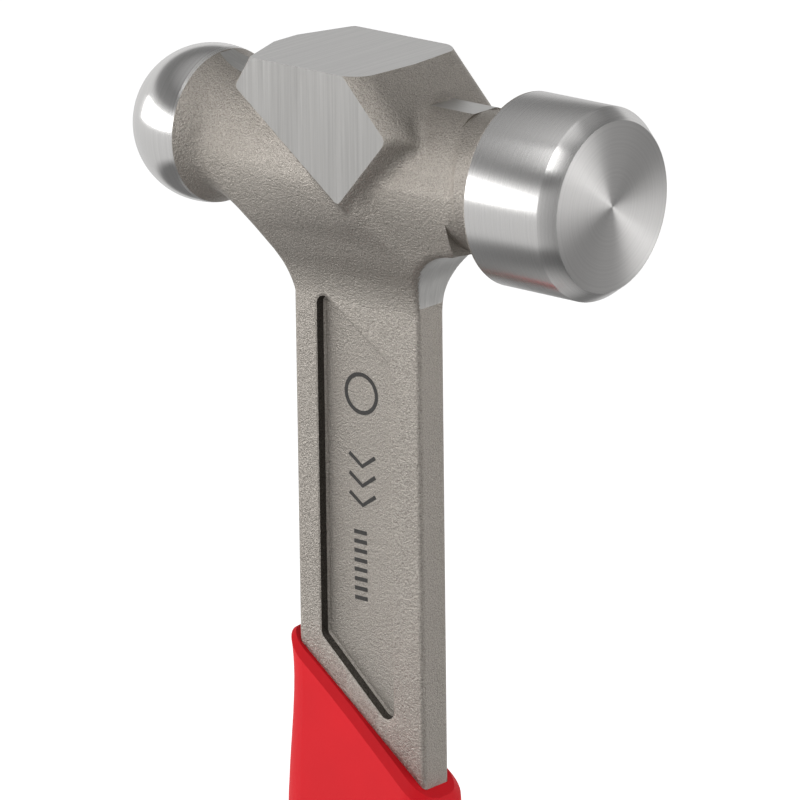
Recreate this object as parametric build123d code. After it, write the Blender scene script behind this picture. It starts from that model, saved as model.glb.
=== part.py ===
"""Ball peen hammer: one-piece steel forging with a two-shot moulded grip.

Millimetres. +Z runs up the handle to the head, +X points the way the striking
face points, and both cheeks face along Y. The origin is in the middle of the
grip, on the centre line of the handle.
"""

import os
from math import cos, radians, sin, sqrt, tan

from build123d import *

os.makedirs("parts", exist_ok=True)

# ---- overall sizes ---------------------------------------------------------
OVERALL_LENGTH = 330.0       # crown of the head to the end of the butt
GRIP_LENGTH = 226.4          # highest point of the grip to the end of the butt
HEAD_TOP = 17.6              # head axis up to the machined crown
HEAD_AXIS_Z = OVERALL_LENGTH - HEAD_TOP - GRIP_LENGTH / 2

# ---- striking end (the poll) -----------------------------------------------
POLL_DIAMETER = 33.0
POLL_LENGTH = 18.3           # back edge to striking face, chamfer included
FACE_X = 53.4                # handle centre line out to the striking face
FACE_CHAMFER_LENGTH = 2.6    # along the axis
FACE_CHAMFER_WIDTH = 1.9     # across the axis
POLL_NECK_TURNED_RADIUS = 12.0
POLL_NECK_HALF_WIDTH = 11.0  # as forged, across the cheeks
POLL_NECK_HALF_HEIGHT = 12.8
POLL_FLARE_ROOT_RADIUS = 10.8
POLL_FLARE_LENGTH = 7.7

# ---- peen end (the ball) ---------------------------------------------------
BALL_RADIUS = 13.8
BALL_X = -34.9               # handle centre line out to the centre of the ball
BALL_EDGE_X = -32.6          # where turning stops and the forged neck starts
PEEN_NECK_X = -23.0          # thinnest place of the neck
PEEN_NECK_HALF_WIDTH = 9.8
PEEN_NECK_HALF_HEIGHT = 11.4
PEEN_NECK_HOLLOW = (0.4, 0.2)  # sag halfway to the ball, across and up
PEEN_NECK_OPENING = 1.14     # growth of the neck where it enters the block
PEEN_NECK_OVERLAP = 6.0      # how far the neck runs on inside the block

# ---- central block ---------------------------------------------------------
CHEEK_HALF_WIDTH = 13.65     # middle plane out to a machined cheek
SHOULDER_DROP = 2.05         # cheek down to the corner where the draft starts
# Cheek outline, measured from the head axis: (x, z), clockwise from the crown.
CROWN_PEEN_X = -14.1
CROWN_POLL_X = 6.9
CHEEK_POLL_CORNER = (16.3, 7.7)
CHEEK_LOW_CORNER = (5.3, -5.2)
CHEEK_PEEN_CORNER = (-17.6, 12.1)
# How far each side of that outline steps out at the shoulder and at the middle.
CROWN_STEP = (0.0, 0.0)
POLL_FACET_STEP = (2.36, 3.0)
POLL_WALL_STEP = (2.0, 5.0)
PEEN_WALL_STEP = (0.8, 4.0)
PEEN_FACET_STEP = (0.6, 4.0)

# ---- shank -----------------------------------------------------------------
SHANK_WIDTH = 28.2
SHANK_THICKNESS = 6.7
SHANK_EDGE_RADIUS = 0.8
SHANK_TOP_Z = -21.5          # where the head's flare runs out, from the head axis
THROAT_RADIUS = 12.0         # ground hollow between poll neck and shank
PEEN_THROAT_RADIUS = 9.0
PEEN_THROAT_ANGLE = 41.0     # fall of the underside from the ball to the shank
PEEN_THROAT_START_Z = -3.2
THROAT_TOP_Z = -2.0          # where the flare ends inside the head
THROAT_OVERLAP = 8.0         # how far it runs on inside the shank
WEB_PROFILE = ((7.2, 5.5), (9.7, 11.0), (9.9, 21.5))  # half thickness, height over the shank
BAND_INSET = 0.3             # wide rib under the cheek, below the cheek's level
BAND_SHOULDER = 0.6          # its crest over the cheek's low corner
BAND_BALL_MARGIN = (0.6, 0.2)  # over the neck's half width, at the ball and at the neck
BAND_SWELL = (14.0, 1.0)     # where it reaches its width: before the low corner, below the cheek
BAND_END = (4.6, 3.8)        # where it ends: past the low corner, below the cheek

# ---- lightening pocket, one on each side of the shank ----------------------
POCKET_DEPTH = 1.85
POCKET_DRAFT = 8.0
POCKET_PEEN_MARGIN = 5.2
POCKET_POLL_MARGIN = 6.7
POCKET_TOP_Z = -23.8         # highest corner, from the head axis
POCKET_TOP_ANGLE = 34.7
POCKET_BOTTOM_Z = -86.6      # lower corner on the peen side
POCKET_BOTTOM_ANGLE = 41.7
POCKET_CORNER_RADIUS = 1.8

# ---- tang inside the grip --------------------------------------------------
TANG_WIDTH = 18.0
TANG_END_GAP = 34.0          # end of the tang to the end of the butt
TANG_SHOULDER_DEPTH = 26.0   # grip mouth down to where the tang narrows
KEY_HOLE_DIAMETER = 7.0
KEY_HOLE_COUNT = 3
KEY_HOLE_PITCH = 42.0

# ---- grip ------------------------------------------------------------------
MOUTH_ANGLE = 37.7           # slope of the grip's upper edge
MOUTH_WALL_X = 3.1           # plastic in front of and behind the shank
MOUTH_WALL_Y = 2.7           # plastic over the shank's sides
MOUTH_CHAMFER = 1.2          # outer rim of the mouth
COLLAR_TAPER = (-0.6, 1.4)   # change of width and thickness at the foot of the collar
THROAT_TAPER = (1.0, -3.8)   # the hand's width and thickness, where the thumb rests
BUTT_TAPER = (-2.0, -1.5)    # change of width and thickness at the very end
SECTION_ROUNDNESS = 0.42     # corner radius over the smaller side of a cross-section
COLLAR_FOOT, THUMB, HAND, SWELL, LITTLE_FINGER, BUTT = 0.12, 0.28, 0.43, 0.61, 0.79, 0.93
HAND_WIDTH = 30.0
HAND_THICKNESS = 23.5
SWELL_WIDTH = 33.0
SWELL_THICKNESS = 26.0
BUTT_WIDTH = 37.0
BUTT_THICKNESS = 27.0
PAD_DEPTH = 2.2              # thickness of the soft second shot
PAD_TOP = 0.33               # share of the grip above the pads
PAD_REACH = 6.0              # side edge of a pad, from the handle centre line
PAD_LEADS = (0.4, 0.2)       # slant of a pad's upper and lower end
PAD_END_GAP = 4.0            # pad to lanyard hole
PAD_RIB_COUNT = 11
PAD_RIB_MARGINS = (7.0, 6.0)  # first and last rib in from the ends of the pad
PAD_RIB_GROOVE = 1.4
PAD_RIB_DEPTH = 0.7
BUMPER_HEIGHT = 12.0
BUTT_ROUNDING = 4.0
LANYARD_HOLE_DIAMETER = 8.0
LANYARD_HOLE_GAP = 2.0       # bumper to the edge of the hole

GRIP_TOP = GRIP_LENGTH / 2
GRIP_BOTTOM = -GRIP_LENGTH / 2
MORE = 1.0                   # overlap that keeps joined shapes from only touching


def at_head(x, z):
    """Turn a point measured from the head axis into the part's own frame."""
    return (x, z + HEAD_AXIS_Z)


def side_prism(points, half_width):
    """Extrude an outline in the XZ plane the same distance to both sides."""
    outline = Plane.XZ * make_face(Polyline(*points, close=True))
    return extrude(outline, half_width, both=True)


def stepped_outline(corners, steps):
    """Move every side of a clockwise outline outward by its own step."""
    lines = []
    for (start, end), step in zip(zip(corners, corners[1:] + corners[:1]), steps):
        length = sqrt((end[0] - start[0]) ** 2 + (end[1] - start[1]) ** 2)
        along = ((end[0] - start[0]) / length, (end[1] - start[1]) / length)
        outward = (-along[1], along[0])
        lines.append(((start[0] + outward[0] * step, start[1] + outward[1] * step), along))
    moved = []
    for (before, after) in zip(lines[-1:] + lines[:-1], lines):
        (p, d), (q, e) = before, after
        cross = d[0] * e[1] - d[1] * e[0]
        reach = ((q[0] - p[0]) * e[1] - (q[1] - p[1]) * e[0]) / cross
        moved.append((p[0] + d[0] * reach, p[1] + d[1] * reach))
    return moved


def ellipse_section(x, half_width, half_height):
    """One cross-section of a neck, square to the head axis."""
    place = Plane(origin=(x, 0, HEAD_AXIS_Z), x_dir=(0, 1, 0), z_dir=(1, 0, 0))
    return place * Ellipse(half_width, half_height)


def head_revolve(profile):
    """Turn a closed (x, radius) profile about the head axis."""
    face = Pos(0, 0, HEAD_AXIS_Z) * (Plane.XZ * make_face(profile))
    return revolve(face, Axis((0, 0, HEAD_AXIS_Z), (1, 0, 0)))


def poll():
    """Turned striking end: cylinder, face chamfer and the flare behind it."""
    radius = POLL_DIAMETER / 2
    back_x = FACE_X - POLL_LENGTH
    chamfer_x = FACE_X - FACE_CHAMFER_LENGTH
    root_x = back_x - POLL_FLARE_LENGTH
    rise = radius - POLL_FLARE_ROOT_RADIUS
    flare_radius = (POLL_FLARE_LENGTH**2 + rise**2) / (2 * rise)
    centre = (root_x, POLL_FLARE_ROOT_RADIUS + flare_radius)
    halfway = 0.5 * (back_x - root_x)
    dip = centre[1] - sqrt(flare_radius**2 - halfway**2)
    profile = [
        Line((root_x - MORE, 0), (root_x - MORE, POLL_FLARE_ROOT_RADIUS)),
        Line((root_x - MORE, POLL_FLARE_ROOT_RADIUS), (root_x, POLL_FLARE_ROOT_RADIUS)),
        ThreePointArc(
            (root_x, POLL_FLARE_ROOT_RADIUS), (root_x + halfway, dip), (back_x, radius)
        ),
        Line((back_x, radius), (chamfer_x, radius)),
        Line((chamfer_x, radius), (FACE_X, radius - FACE_CHAMFER_WIDTH)),
        Line((FACE_X, radius - FACE_CHAMFER_WIDTH), (FACE_X, 0)),
        Line((FACE_X, 0), (root_x - MORE, 0)),
    ]
    return head_revolve(profile)


def poll_neck():
    """Forged oval neck whose top and underside are turned to a smaller radius."""
    end_x = FACE_X - POLL_LENGTH - 2 * MORE
    forged = extrude(
        ellipse_section(0, POLL_NECK_HALF_WIDTH, POLL_NECK_HALF_HEIGHT), end_x
    )
    turned = Cylinder(POLL_NECK_TURNED_RADIUS, end_x * 2, rotation=(0, 90, 0))
    return forged & (Pos(0, 0, HEAD_AXIS_Z) * turned)


def ball():
    """Round peen."""
    return Pos(BALL_X, 0, HEAD_AXIS_Z) * Sphere(BALL_RADIUS)


def peen_neck():
    """Forged neck that narrows behind the ball and opens into the block."""
    edge_radius = sqrt(BALL_RADIUS**2 - (BALL_EDGE_X - BALL_X) ** 2)
    across, up = PEEN_NECK_HOLLOW
    end_x = CROWN_PEEN_X + PEEN_NECK_OVERLAP
    sections = [
        ellipse_section(BALL_EDGE_X - MORE / 2, edge_radius, edge_radius),
        ellipse_section(
            0.5 * (BALL_EDGE_X + PEEN_NECK_X),
            0.5 * (edge_radius + PEEN_NECK_HALF_WIDTH) - across,
            0.5 * (edge_radius + PEEN_NECK_HALF_HEIGHT) - up,
        ),
        ellipse_section(PEEN_NECK_X, PEEN_NECK_HALF_WIDTH, PEEN_NECK_HALF_HEIGHT),
        ellipse_section(
            end_x,
            PEEN_NECK_HALF_WIDTH * PEEN_NECK_OPENING,
            PEEN_NECK_HALF_HEIGHT * PEEN_NECK_OPENING,
        ),
    ]
    return loft(sections)


def block():
    """Central block: machined cheeks and crown with drafted forged facets."""
    cheek = [
        (CROWN_PEEN_X, HEAD_TOP),
        (CROWN_POLL_X, HEAD_TOP),
        CHEEK_POLL_CORNER,
        CHEEK_LOW_CORNER,
        CHEEK_PEEN_CORNER,
    ]
    steps = [CROWN_STEP, POLL_FACET_STEP, POLL_WALL_STEP, PEEN_WALL_STEP, PEEN_FACET_STEP]
    shoulder = stepped_outline(cheek, [step[0] for step in steps])
    middle = stepped_outline(cheek, [step[1] for step in steps])
    shoulder_y = CHEEK_HALF_WIDTH - SHOULDER_DROP
    layers = [
        (-CHEEK_HALF_WIDTH, cheek),
        (-shoulder_y, shoulder),
        (0.0, middle),
        (shoulder_y, shoulder),
        (CHEEK_HALF_WIDTH, cheek),
    ]
    faces = []
    for y, corners in layers:
        points = [(x, y, z + HEAD_AXIS_Z) for x, z in corners]
        faces.append(Face(Wire.make_polygon([Vector(*p) for p in points], close=True)))
    return loft(faces, ruled=True)


def throat_outline():
    """Side outline of the forging between the two necks and the shank."""
    half = SHANK_WIDTH / 2
    low_z = SHANK_TOP_Z - THROAT_OVERLAP
    poll_arc_z = -POLL_NECK_TURNED_RADIUS - THROAT_RADIUS
    poll_end_x = half + THROAT_RADIUS
    corner = 1 - cos(radians(45))
    poll_mid = (
        half + THROAT_RADIUS * corner,
        poll_arc_z + THROAT_RADIUS * (1 - corner),
    )
    slope = radians(PEEN_THROAT_ANGLE)
    swing = radians(90) - slope
    ball_x = BALL_EDGE_X + MORE
    arc_run = PEEN_THROAT_RADIUS * (1 - cos(swing))
    arc_rise = PEEN_THROAT_RADIUS * sin(swing)
    meet_x = -half - arc_run
    meet_z = PEEN_THROAT_START_Z - (meet_x - ball_x) * tan(slope)
    arc_low_z = meet_z - arc_rise
    arc_mid = (
        -half - PEEN_THROAT_RADIUS * (1 - cos(swing / 2)),
        arc_low_z + PEEN_THROAT_RADIUS * sin(swing / 2),
    )
    inner_z = THROAT_TOP_Z
    pieces = [
        Line(at_head(half, low_z), at_head(half, poll_arc_z)),
        ThreePointArc(
            at_head(half, poll_arc_z),
            at_head(*poll_mid),
            at_head(poll_end_x, -POLL_NECK_TURNED_RADIUS),
        ),
        Line(
            at_head(poll_end_x, -POLL_NECK_TURNED_RADIUS),
            at_head(poll_end_x, inner_z),
        ),
        Line(at_head(poll_end_x, inner_z), at_head(ball_x, inner_z)),
        Line(at_head(ball_x, inner_z), at_head(ball_x, PEEN_THROAT_START_Z)),
        Line(at_head(ball_x, PEEN_THROAT_START_Z), at_head(meet_x, meet_z)),
        ThreePointArc(
            at_head(meet_x, meet_z), at_head(*arc_mid), at_head(-half, arc_low_z)
        ),
        Line(at_head(-half, arc_low_z), at_head(-half, low_z)),
        Line(at_head(-half, low_z), at_head(half, low_z)),
    ]
    return Plane.XZ * make_face(pieces)


def flare_prism(profile, x_from, x_to):
    """Extrude a mirrored (half thickness, z) profile along the head axis."""
    right = [at_head(y, z) for y, z in profile]
    left = [(-y, z) for y, z in reversed(right)]
    place = Plane(origin=(x_from, 0, 0), x_dir=(0, 1, 0), z_dir=(1, 0, 0))
    return extrude(place * make_face(Polyline(*right, *left, close=True)), x_to - x_from)


def throat():
    """Forging below the necks: a wide flare that thins down into the shank."""
    outline = extrude(throat_outline(), CHEEK_HALF_WIDTH, both=True)
    half = SHANK_THICKNESS / 2
    low_z = SHANK_TOP_Z - THROAT_OVERLAP
    span = (BALL_X - BALL_RADIUS, FACE_X)
    root = [(half, low_z), (half, SHANK_TOP_Z)]
    web = [(thickness, SHANK_TOP_Z + rise) for thickness, rise in WEB_PROFILE]
    poll_side = flare_prism(root + web, *span)
    cheek_level = CHEEK_HALF_WIDTH - BAND_INSET
    low_corner_x, low_corner_z = CHEEK_LOW_CORNER
    band = [(cheek_level, low_corner_z + BAND_SHOULDER), (cheek_level, 0.0)]
    band_side = flare_prism(root + band, *span)
    plan = [
        (BALL_EDGE_X, PEEN_NECK_HALF_WIDTH + BAND_BALL_MARGIN[0]),
        (PEEN_NECK_X, PEEN_NECK_HALF_WIDTH + BAND_BALL_MARGIN[1]),
        (low_corner_x - BAND_SWELL[0], CHEEK_HALF_WIDTH - BAND_SWELL[1]),
        (low_corner_x, cheek_level),
        (low_corner_x + BAND_END[0], CHEEK_HALF_WIDTH - BAND_END[1]),
    ]
    other = [(x, -y) for x, y in reversed(plan)]
    tall = Pos(0, 0, HEAD_AXIS_Z) * extrude(
        make_face(Polyline(*plan, *other, close=True)), OVERALL_LENGTH, both=True
    )
    return (outline & poll_side) + (outline & band_side & tall)


def shank():
    """Flat blade of the handle, and the tang that runs down inside the grip."""
    half = SHANK_WIDTH / 2
    top = HEAD_AXIS_Z + SHANK_TOP_Z - 2 * MORE
    mouth_low = GRIP_TOP - SHANK_WIDTH * tan(radians(MOUTH_ANGLE))
    neck_z = mouth_low - TANG_SHOULDER_DEPTH
    tang_half = TANG_WIDTH / 2
    shoulder = half - tang_half
    end_z = GRIP_BOTTOM + TANG_END_GAP
    blade = side_prism(
        [
            (-half, top),
            (half, top),
            (half, neck_z),
            (tang_half, neck_z - shoulder),
            (tang_half, end_z),
            (-tang_half, end_z),
            (-tang_half, neck_z - shoulder),
            (-half, neck_z),
        ],
        SHANK_THICKNESS / 2,
    )
    long_edges = [
        edge
        for edge in blade.edges().filter_by(Axis.Z)
        if abs(abs(edge.center().X) - half) < MORE / 2
    ]
    blade = fillet(long_edges, SHANK_EDGE_RADIUS)
    first_z = neck_z - shoulder - KEY_HOLE_DIAMETER
    for index in range(KEY_HOLE_COUNT):
        drill = Cylinder(
            KEY_HOLE_DIAMETER / 2, SHANK_THICKNESS * 2, rotation=(90, 0, 0)
        )
        blade -= Pos(0, 0, first_z - index * KEY_HOLE_PITCH) * drill
    return blade


def pocket_cutter(side):
    """Slanted, drafted recess sunk into one side of the shank."""
    left = -SHANK_WIDTH / 2 + POCKET_PEEN_MARGIN
    right = SHANK_WIDTH / 2 - POCKET_POLL_MARGIN
    width = right - left
    top_fall = width * tan(radians(POCKET_TOP_ANGLE))
    bottom_fall = width * tan(radians(POCKET_BOTTOM_ANGLE))
    corners = [
        at_head(left, POCKET_TOP_Z),
        at_head(right, POCKET_TOP_Z - top_fall),
        at_head(right, POCKET_BOTTOM_Z - bottom_fall),
        at_head(left, POCKET_BOTTOM_Z),
    ]
    outline = make_face(Polyline(*corners, close=True))
    outline = fillet(outline.vertices(), POCKET_CORNER_RADIUS)
    surface = Plane(
        origin=(0, side * SHANK_THICKNESS / 2, 0), x_dir=(1, 0, 0), z_dir=(0, -1, 0)
    )
    return extrude(
        surface * outline,
        amount=side * POCKET_DEPTH,
        taper=POCKET_DRAFT,
    )


def forging():
    """The whole steel piece: head, shank and tang in one."""
    steel = block() + poll_neck() + poll() + peen_neck() + ball() + throat() + shank()
    for side in (-1, 1):
        steel -= pocket_cutter(side)
    return steel


def grip_section(z, width, thickness):
    """One rounded cross-section of the grip."""
    corner = SECTION_ROUNDNESS * min(width, thickness)
    return Pos(0, 0, z) * RectangleRounded(width, thickness, corner)


def grip_stations():
    """Height, width and thickness of the grip at its leading cross-sections."""
    mouth = (SHANK_WIDTH + 2 * MOUTH_WALL_X, SHANK_THICKNESS + 2 * MOUTH_WALL_Y)
    hand = (HAND_WIDTH, HAND_THICKNESS)
    butt = (BUTT_WIDTH, BUTT_THICKNESS)
    level = (0.0, 0.0)
    rows = [
        (-MORE / GRIP_LENGTH, mouth, level),
        (COLLAR_FOOT, mouth, COLLAR_TAPER),
        (THUMB, hand, THROAT_TAPER),
        (HAND, hand, level),
        (SWELL, (SWELL_WIDTH, SWELL_THICKNESS), level),
        (LITTLE_FINGER, hand, level),
        (BUTT, butt, level),
        (1.0, butt, BUTT_TAPER),
    ]
    return [
        (GRIP_TOP - share * GRIP_LENGTH, width + wider, thickness + thicker)
        for share, (width, thickness), (wider, thicker) in rows
    ]


def grip_half_width(z):
    """Half width of the grip at a height, between its leading sections."""
    stations = grip_stations()
    for (high_z, high, _), (low_z, low, _) in zip(stations, stations[1:]):
        if low_z <= z <= high_z:
            share = (z - low_z) / (high_z - low_z)
            return 0.5 * (low + (high - low) * share)
    return 0.5 * BUTT_WIDTH


def grip_envelope(inset):
    """Outer form of the grip, or the same form pulled in by `inset` all round."""
    sections = [
        grip_section(z, width - 2 * inset, thickness - 2 * inset)
        for z, width, thickness in grip_stations()
    ]
    return loft(sections)


def mouth_cut():
    """Everything above the slanted upper edge of the grip."""
    half = SHANK_WIDTH / 2 + MOUTH_WALL_X
    slope = tan(radians(MOUTH_ANGLE))
    return side_prism(
        [
            (-half - MORE, GRIP_TOP + MORE * slope),
            (half + MORE, GRIP_TOP - (2 * half + MORE) * slope),
            (half + MORE, GRIP_TOP + BUTT_WIDTH),
            (-half - MORE, GRIP_TOP + BUTT_WIDTH),
        ],
        BUTT_WIDTH,
    )


def grip_solid():
    """Whole moulded form: slanted mouth at the top, rounded butt at the bottom."""
    body = grip_envelope(0.0) - mouth_cut()
    body = fillet(body.edges().group_by(Axis.Z)[0], BUTT_ROUNDING)
    tilt = radians(MOUTH_ANGLE)
    upward = Vector(sin(tilt), 0, cos(tilt))
    mouth = max(body.faces(), key=lambda face: face.normal_at().dot(upward))
    return chamfer(mouth.edges(), MOUTH_CHAMFER)


def pad_window(side):
    """Side view of a soft pad: a long strip with slanted ends."""
    top = GRIP_TOP - PAD_TOP * GRIP_LENGTH
    bottom = lanyard_height() + LANYARD_HOLE_DIAMETER / 2 + PAD_END_GAP
    inner = PAD_REACH
    outer = BUTT_WIDTH
    upper, lower = (lead * (outer - inner) for lead in PAD_LEADS)
    return side_prism(
        [
            (side * inner, top),
            (side * outer, top + upper),
            (side * outer, bottom - lower),
            (side * inner, bottom),
        ],
        BUTT_WIDTH,
    )


def pad(side, whole, core):
    """Soft pad on the finger side or the palm side, before its ribs are cut."""
    return (whole - core) & pad_window(side)


def rib_slots():
    """Cross slots that leave ribs standing on both pads."""
    first, last = PAD_RIB_MARGINS
    top = GRIP_TOP - PAD_TOP * GRIP_LENGTH - last
    bottom = lanyard_height() + LANYARD_HOLE_DIAMETER / 2 + PAD_END_GAP + first
    pitch = (top - bottom) / (PAD_RIB_COUNT - 1)
    slots = []
    for index in range(PAD_RIB_COUNT):
        z = bottom + index * pitch
        floor_x = grip_half_width(z) - PAD_RIB_DEPTH
        for side in (-1, 1):
            slot = Box(2 * PAD_DEPTH, BUTT_THICKNESS, PAD_RIB_GROOVE)
            slots.append(Pos(side * (floor_x + PAD_DEPTH), 0, z) * slot)
    return slots


def bumper(whole, core):
    """Soft cap moulded over the end of the butt."""
    band = Pos(0, 0, GRIP_BOTTOM) * Box(
        BUTT_WIDTH * 2, BUTT_WIDTH * 2, BUMPER_HEIGHT * 2
    )
    plug = Pos(0, 0, GRIP_BOTTOM + BUMPER_HEIGHT) * Box(
        BUTT_WIDTH * 2, BUTT_WIDTH * 2, 2 * (BUMPER_HEIGHT - PAD_DEPTH)
    )
    return (whole & band) - (core & plug)


def lanyard_height():
    """Height of the lanyard hole's axis."""
    return GRIP_BOTTOM + BUMPER_HEIGHT + LANYARD_HOLE_GAP + LANYARD_HOLE_DIAMETER / 2


def lanyard_drill():
    """Hole across the butt for a lanyard."""
    drill = Cylinder(
        LANYARD_HOLE_DIAMETER / 2, 2 * BUTT_WIDTH, rotation=(90, 0, 0)
    )
    return Pos(0, 0, lanyard_height()) * drill


def main():
    """Build every piece and write it out."""
    steel = forging()
    whole = grip_solid()
    core = grip_envelope(PAD_DEPTH)
    finger_pad = pad(-1, whole, core)
    palm_pad = pad(1, whole, core)
    cap = bumper(whole, core)
    body = whole - steel - lanyard_drill()
    for soft in (finger_pad, palm_pad, cap):
        body -= soft
    slots = rib_slots()
    finger_pad -= slots
    palm_pad -= slots
    pieces = {
        "forging": steel,
        "grip_body": body,
        "grip_pad_peen_side": finger_pad,
        "grip_pad_face_side": palm_pad,
        "butt_bumper": cap,
    }
    for name, solid in pieces.items():
        solid.label = name
        export_step(solid, f"parts/{name}.step")
        box = solid.bounding_box()
        print(name, round(solid.volume, 1), box.min, box.max, len(solid.solids()))


main()
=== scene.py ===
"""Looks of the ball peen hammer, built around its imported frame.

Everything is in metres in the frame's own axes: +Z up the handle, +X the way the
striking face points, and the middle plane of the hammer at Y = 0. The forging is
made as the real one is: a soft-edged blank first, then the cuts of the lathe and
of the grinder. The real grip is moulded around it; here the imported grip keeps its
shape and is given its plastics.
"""

import logging
import math
from dataclasses import dataclass
from enum import Enum
from typing import Callable, Iterable, Sequence

import bmesh
import bpy
import numpy as np
from mathutils import Matrix, Vector

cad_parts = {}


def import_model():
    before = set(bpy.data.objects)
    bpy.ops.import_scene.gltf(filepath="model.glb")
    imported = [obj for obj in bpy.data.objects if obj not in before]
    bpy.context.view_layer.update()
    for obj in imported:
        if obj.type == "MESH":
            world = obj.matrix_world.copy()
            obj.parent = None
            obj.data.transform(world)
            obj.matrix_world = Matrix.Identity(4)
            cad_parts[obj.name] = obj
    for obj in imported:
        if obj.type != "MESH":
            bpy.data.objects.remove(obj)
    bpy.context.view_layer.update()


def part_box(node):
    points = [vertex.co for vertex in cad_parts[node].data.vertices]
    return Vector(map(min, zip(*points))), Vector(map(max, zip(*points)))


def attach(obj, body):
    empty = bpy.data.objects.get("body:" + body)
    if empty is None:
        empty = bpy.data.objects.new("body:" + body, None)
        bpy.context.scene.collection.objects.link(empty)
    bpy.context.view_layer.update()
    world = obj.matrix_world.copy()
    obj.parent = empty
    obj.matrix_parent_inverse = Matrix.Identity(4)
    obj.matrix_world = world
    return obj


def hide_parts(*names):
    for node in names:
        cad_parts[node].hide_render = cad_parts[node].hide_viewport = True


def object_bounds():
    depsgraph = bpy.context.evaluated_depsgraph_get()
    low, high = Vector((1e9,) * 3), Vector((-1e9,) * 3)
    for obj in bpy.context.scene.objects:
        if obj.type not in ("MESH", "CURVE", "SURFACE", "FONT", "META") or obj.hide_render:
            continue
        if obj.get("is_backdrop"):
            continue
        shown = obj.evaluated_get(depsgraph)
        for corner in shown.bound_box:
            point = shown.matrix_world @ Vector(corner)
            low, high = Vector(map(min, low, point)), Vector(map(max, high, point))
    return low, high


LOG = logging.getLogger("hammer")
MM = 0.001
Array = np.ndarray


class Skin(Enum):
    """Finishes met on the steel, in the order of the forging's material slots; the last slot is no finish but
    painted shade on the pocket walls.
    """

    FORGED = 0
    GROUND = 1
    TURNED = 2
    FACE = 3
    POLISHED = 4
    CHEEK = 5
    CROWN = 6
    # forged skin darkened to paint the shade that falls on the pocket walls
    RECESS_PAINTED_SHADE = 7


# --------------------------------------------------------------------------
# Shape arithmetic on signed distances (negative inside)
# --------------------------------------------------------------------------


def soft_union(a: Array, b: Array, radius: float) -> Array:
    """Join two solids with a hollow fillet of the given radius.

    Args:
        a: Distances to the first solid.
        b: Distances to the second solid.
        radius: Fillet radius in metres.

    Returns:
        Distances to the joined solid.
    """
    u = np.maximum(radius - a, 0.0)
    v = np.maximum(radius - b, 0.0)
    return np.maximum(radius, np.minimum(a, b)) - np.hypot(u, v)


def soft_cut(a: Array, b: Array, radius: float) -> Array:
    """Keep what two solids share, with the edge rounded to the given radius.

    Args:
        a: Distances to the first solid.
        b: Distances to the second solid.
        radius: Edge radius in metres.

    Returns:
        Distances to the shared solid.
    """
    u = np.maximum(radius + a, 0.0)
    v = np.maximum(radius + b, 0.0)
    return np.minimum(-radius, np.maximum(a, b)) + np.hypot(u, v)


def half_space(normal: Sequence[float], point: Sequence[float], at: Sequence[Array]) -> Array:
    """Distance to a plane, positive on the side its normal points to.

    Args:
        normal: Outward normal, of any length.
        point: A point on the plane.
        at: X, Y and Z of the places asked about.

    Returns:
        Signed distances.
    """
    unit = np.array(normal, float) / np.linalg.norm(normal)
    return sum(n * (c - p) for n, p, c in zip(unit, point, at))


def plane_through(p: Sequence[float], q: Sequence[float], r: Sequence[float]) -> Array:
    """Normal of the plane through three points, by the right-hand rule.

    Args:
        p: First point.
        q: Second point.
        r: Third point.

    Returns:
        The normal.
    """
    p, q, r = (np.array(t, float) for t in (p, q, r))
    return np.cross(q - p, r - p)


# --------------------------------------------------------------------------
# Meshing
# --------------------------------------------------------------------------


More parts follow.
